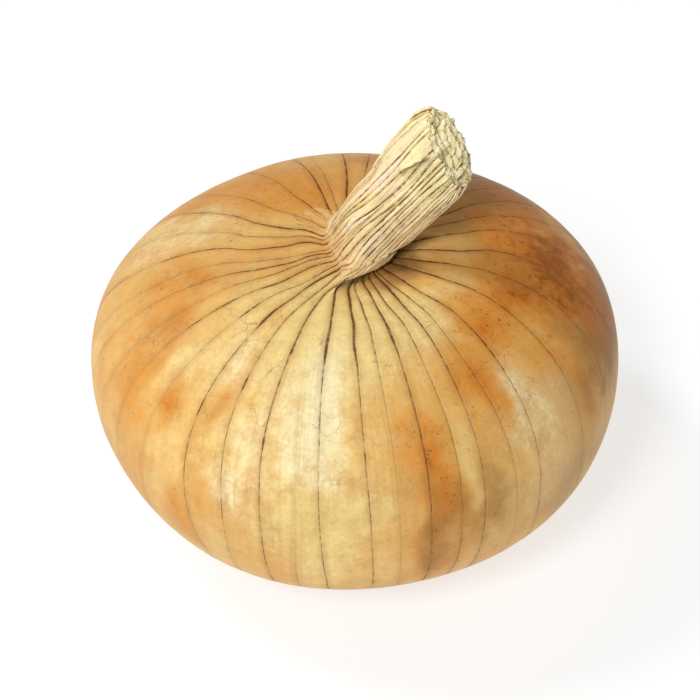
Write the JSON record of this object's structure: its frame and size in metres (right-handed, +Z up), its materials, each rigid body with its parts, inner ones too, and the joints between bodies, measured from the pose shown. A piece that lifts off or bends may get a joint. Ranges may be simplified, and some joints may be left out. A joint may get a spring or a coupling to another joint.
{
  "type": "onion",
  "caption": "Whole flat yellow onion with papery orange-tan skin, dark lengthwise veins and a cut, dried neck leaning to one side, resting on its root plate.",
  "frame": {"origin": "middle of the underside, at the level of the flat root plate that the onion rests on", "axes": "+Z up through the bulb from root plate to crown, +X the way the cut neck leans, +Y away from the side that shows the neck's broad face"},
  "size_m": [0.09, 0.0898, 0.0779],
  "materials": {
    "papery_skin": "dry papery onion skin, satin, orange-tan to cream in streaks, with thin dark brown lengthwise veins",
    "dried_neck": "dried straw-coloured leaf sheath, matte, finely pleated along its length with dark grooves",
    "cut_sheaths": "cut ends of the dried leaf sheaths, matte pale greenish straw, crumpled, with dark gaps",
    "dried_roots": "corky root plate with trimmed, dry fibrous roots, matte brown"
  },
  "bodies": {
    "root": {"onion": "papery_skin"}
  },
  "joints": []
}
